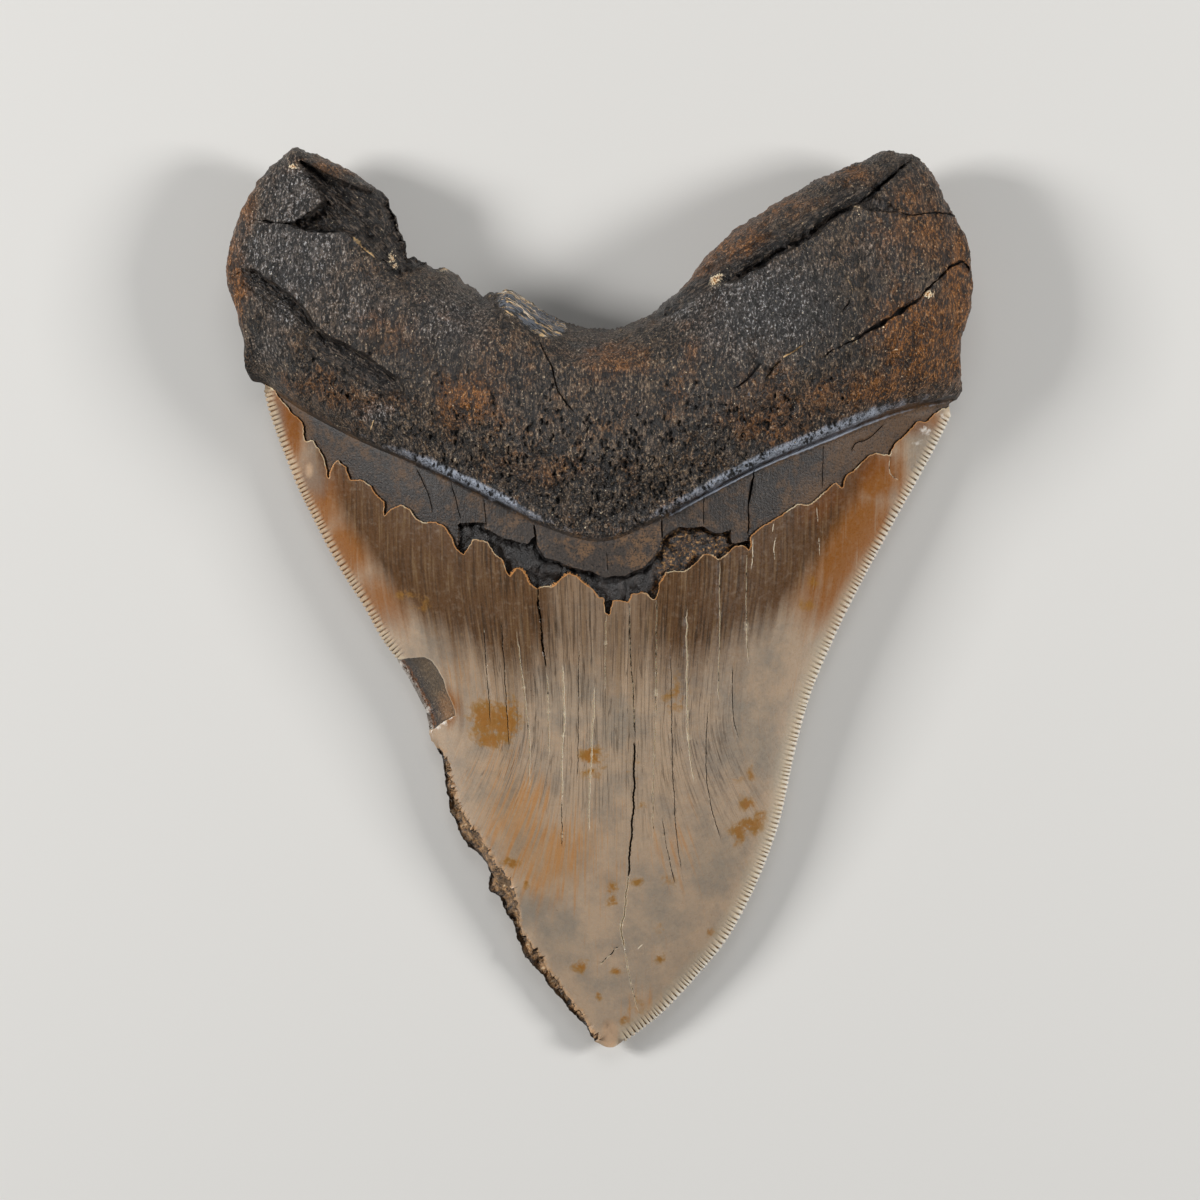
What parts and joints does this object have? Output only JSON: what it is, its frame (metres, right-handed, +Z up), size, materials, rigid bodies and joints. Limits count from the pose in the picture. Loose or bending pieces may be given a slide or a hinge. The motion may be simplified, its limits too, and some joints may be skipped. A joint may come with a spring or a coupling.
{
  "type": "megalodon tooth",
  "caption": "Large fossil shark tooth with a thick two-lobed root, a smooth dark band below it and a broad, serrated enamel crown tapering to a point; lies flat on its outer face for display.",
  "frame": {"origin": "on the surface that the tooth lies on, under the middle of its outline", "axes": "+X to the right as seen from above, +Y along the tooth from the tip towards the root, +Z up out of the rounded inner face"},
  "size_m": [0.12, 0.1452, 0.0293],
  "materials": {
    "tooth": "dark matt fossil root, smooth dark band and glossy tan to grey enamel"
  },
  "bodies": {
    "root": {"tooth": "tooth"}
  },
  "joints": []
}
